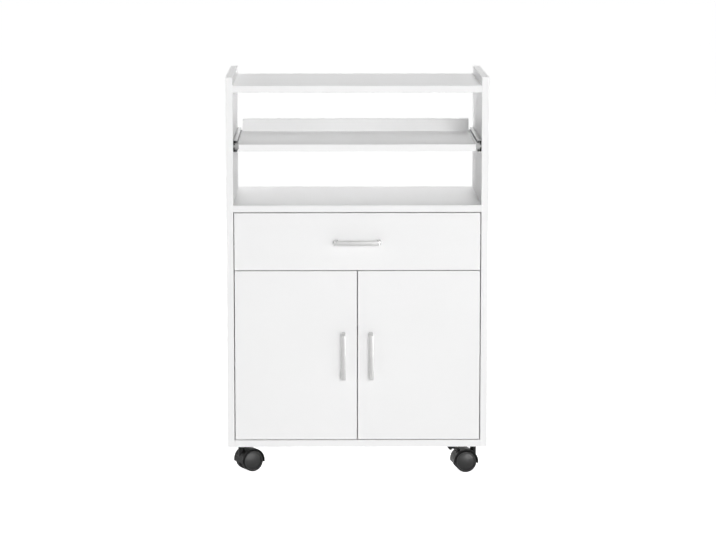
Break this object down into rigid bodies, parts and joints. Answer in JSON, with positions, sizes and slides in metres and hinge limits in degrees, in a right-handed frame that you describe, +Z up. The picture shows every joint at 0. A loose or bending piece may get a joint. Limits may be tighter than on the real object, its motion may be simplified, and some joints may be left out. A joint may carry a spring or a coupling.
{
  "type": "microwave cart",
  "caption": "White rolling kitchen cart with an open top shelf, a pull-out appliance shelf, a drawer and a two-door cupboard on twin-wheel casters.",
  "frame": {"origin": "centre of the overall bounding box on the floor that the wheels stand on", "axes": "+X to the right as seen from the front, +Y to the back, +Z up"},
  "size_m": [0.6, 0.428, 0.92],
  "materials": {
    "white_board": "smooth white melamine coating, satin",
    "bright_steel": "bright zinc-plated sheet steel",
    "satin_metal": "satin nickel",
    "dark_plastic": "moulded black nylon, slight sheen",
    "wheel_plastic": "moulded dark grey nylon, semi-gloss",
    "dowel_wood": "plain beech"
  },
  "bodies": {
    "cart": {"left_side_panel": "white_board", "right_side_panel": "white_board", "top_shelf": "white_board", "cabinet_top": "white_board", "bottom_panel": "white_board", "back_panel": "white_board", "inner_shelf": "white_board", "shelf_pins": "bright_steel", "cam_fittings": "satin_metal", "dowels": "dowel_wood", "carcass_screws": "satin_metal", "pullout_left_outer_slide": "bright_steel", "pullout_right_outer_slide": "bright_steel", "drawer_left_outer_slide": "bright_steel", "drawer_right_outer_slide": "bright_steel", "slide_end_guides": "dark_plastic", "hinge_arms": "bright_steel", "caster_stems": "bright_steel"},
    "pullout": {"pullout_shelf": "white_board", "pullout_lip": "white_board", "pullout_left_inner_slide": "bright_steel", "pullout_right_inner_slide": "bright_steel", "pullout_fasteners": "satin_metal"},
    "pullout_cages": {"pullout_ball_cages": "bright_steel"},
    "drawer": {"drawer_front": "white_board", "drawer_left_side": "white_board", "drawer_right_side": "white_board", "drawer_back": "white_board", "drawer_bottom": "white_board", "drawer_handle": "satin_metal", "drawer_left_inner_slide": "bright_steel", "drawer_right_inner_slide": "bright_steel", "drawer_fasteners": "satin_metal"},
    "drawer_cages": {"drawer_ball_cages": "bright_steel"},
    "left_door": {"left_door": "white_board", "left_door_handle": "satin_metal", "left_hinge_cups": "bright_steel", "left_door_screws": "satin_metal"},
    "right_door": {"right_door": "white_board", "right_door_handle": "satin_metal", "right_hinge_cups": "bright_steel", "right_door_screws": "satin_metal"},
    "front_left_caster": {"front_left_caster_hood": "dark_plastic", "front_left_caster_axle": "bright_steel"},
    "front_left_inner_wheel": {"front_left_caster_inner_wheel": "wheel_plastic"},
    "front_left_outer_wheel": {"front_left_caster_outer_wheel": "wheel_plastic"},
    "front_right_caster": {"front_right_caster_hood": "dark_plastic", "front_right_caster_axle": "bright_steel"},
    "front_right_inner_wheel": {"front_right_caster_inner_wheel": "wheel_plastic"},
    "front_right_outer_wheel": {"front_right_caster_outer_wheel": "wheel_plastic"},
    "front_right_brake": {"front_right_brake_lever": "dark_plastic"},
    "rear_left_caster": {"rear_left_caster_hood": "dark_plastic", "rear_left_caster_axle": "bright_steel"},
    "rear_left_inner_wheel": {"rear_left_caster_inner_wheel": "wheel_plastic"},
    "rear_left_outer_wheel": {"rear_left_caster_outer_wheel": "wheel_plastic"},
    "rear_left_brake": {"rear_left_brake_lever": "dark_plastic"},
    "rear_right_caster": {"rear_right_caster_hood": "dark_plastic", "rear_right_caster_axle": "bright_steel"},
    "rear_right_inner_wheel": {"rear_right_caster_inner_wheel": "wheel_plastic"},
    "rear_right_outer_wheel": {"rear_right_caster_outer_wheel": "wheel_plastic"}
  },
  "joints": [
    {"name": "pullout_travel", "type": "slide", "parent": "cart", "child": "pullout", "axis": [0, -1, 0], "range_m": [0, 0.25]},
    {"name": "pullout_cage_travel", "type": "slide", "parent": "cart", "child": "pullout_cages", "axis": [0, -1, 0], "range_m": [0, 0.125]},
    {"name": "drawer_travel", "type": "slide", "parent": "cart", "child": "drawer", "axis": [0, -1, 0], "range_m": [0, 0.25]},
    {"name": "drawer_cage_travel", "type": "slide", "parent": "cart", "child": "drawer_cages", "axis": [0, -1, 0], "range_m": [0, 0.125]},
    {"name": "left_door_hinge", "type": "hinge", "parent": "cart", "child": "left_door", "pos_m": [-0.271, -0.18, 0.2785], "axis": [0, 0, 1], "range_deg": [-95, 0]},
    {"name": "right_door_hinge", "type": "hinge", "parent": "cart", "child": "right_door", "pos_m": [0.271, -0.18, 0.2785], "axis": [0, 0, 1], "range_deg": [0, 95]},
    {"name": "front_left_swivel", "type": "hinge", "parent": "cart", "child": "front_left_caster", "pos_m": [-0.27, -0.146, 0.05], "axis": [0, 0, 1], "continuous": true},
    {"name": "front_left_inner_wheel_spin", "type": "hinge", "parent": "front_left_caster", "child": "front_left_inner_wheel", "pos_m": [-0.25146, -0.13614, 0.025], "axis": [-0.4695, 0.8829, 0], "continuous": true},
    {"name": "front_left_outer_wheel_spin", "type": "hinge", "parent": "front_left_caster", "child": "front_left_outer_wheel", "pos_m": [-0.25146, -0.13614, 0.025], "axis": [-0.4695, 0.8829, 0], "continuous": true},
    {"name": "front_right_swivel", "type": "hinge", "parent": "cart", "child": "front_right_caster", "pos_m": [0.27, -0.146, 0.05], "axis": [0, 0, 1], "continuous": true},
    {"name": "front_right_inner_wheel_spin", "type": "hinge", "parent": "front_right_caster", "child": "front_right_inner_wheel", "pos_m": [0.24929, -0.14947, 0.025], "axis": [0.165, -0.9863, 0], "continuous": true},
    {"name": "front_right_outer_wheel_spin", "type": "hinge", "parent": "front_right_caster", "child": "front_right_outer_wheel", "pos_m": [0.24929, -0.14947, 0.025], "axis": [0.165, -0.9863, 0], "continuous": true},
    {"name": "front_right_brake_press", "type": "hinge", "parent": "front_right_caster", "child": "front_right_brake", "pos_m": [0.23252, -0.15227, 0.053], "axis": [0.165, -0.9863, 0], "range_deg": [0, 18]},
    {"name": "rear_left_swivel", "type": "hinge", "parent": "cart", "child": "rear_left_caster", "pos_m": [-0.27, 0.174, 0.05], "axis": [0, 0, 1], "continuous": true},
    {"name": "rear_left_inner_wheel_spin", "type": "hinge", "parent": "rear_left_caster", "child": "rear_left_inner_wheel", "pos_m": [-0.25027, 0.16682, 0.025], "axis": [0.342, 0.9397, 0], "continuous": true},
    {"name": "rear_left_outer_wheel_spin", "type": "hinge", "parent": "rear_left_caster", "child": "rear_left_outer_wheel", "pos_m": [-0.25027, 0.16682, 0.025], "axis": [0.342, 0.9397, 0], "continuous": true},
    {"name": "rear_left_brake_press", "type": "hinge", "parent": "rear_left_caster", "child": "rear_left_brake", "pos_m": [-0.23429, 0.161, 0.053], "axis": [0.342, 0.9397, 0], "range_deg": [0, 18]},
    {"name": "rear_right_swivel", "type": "hinge", "parent": "cart", "child": "rear_right_caster", "pos_m": [0.27, 0.174, 0.05], "axis": [0, 0, 1], "continuous": true},
    {"name": "rear_right_inner_wheel_spin", "type": "hinge", "parent": "rear_right_caster", "child": "rear_right_inner_wheel", "pos_m": [0.25097, 0.16512, 0.025], "axis": [0.4226, -0.9063, 0], "continuous": true},
    {"name": "rear_right_outer_wheel_spin", "type": "hinge", "parent": "rear_right_caster", "child": "rear_right_outer_wheel", "pos_m": [0.25097, 0.16512, 0.025], "axis": [0.4226, -0.9063, 0], "continuous": true}
  ],
  "couplings": [
    {"joint": "pullout_cage_travel", "follows": "pullout_travel", "ratio": 0.5},
    {"joint": "drawer_cage_travel", "follows": "drawer_travel", "ratio": 0.5}
  ]
}
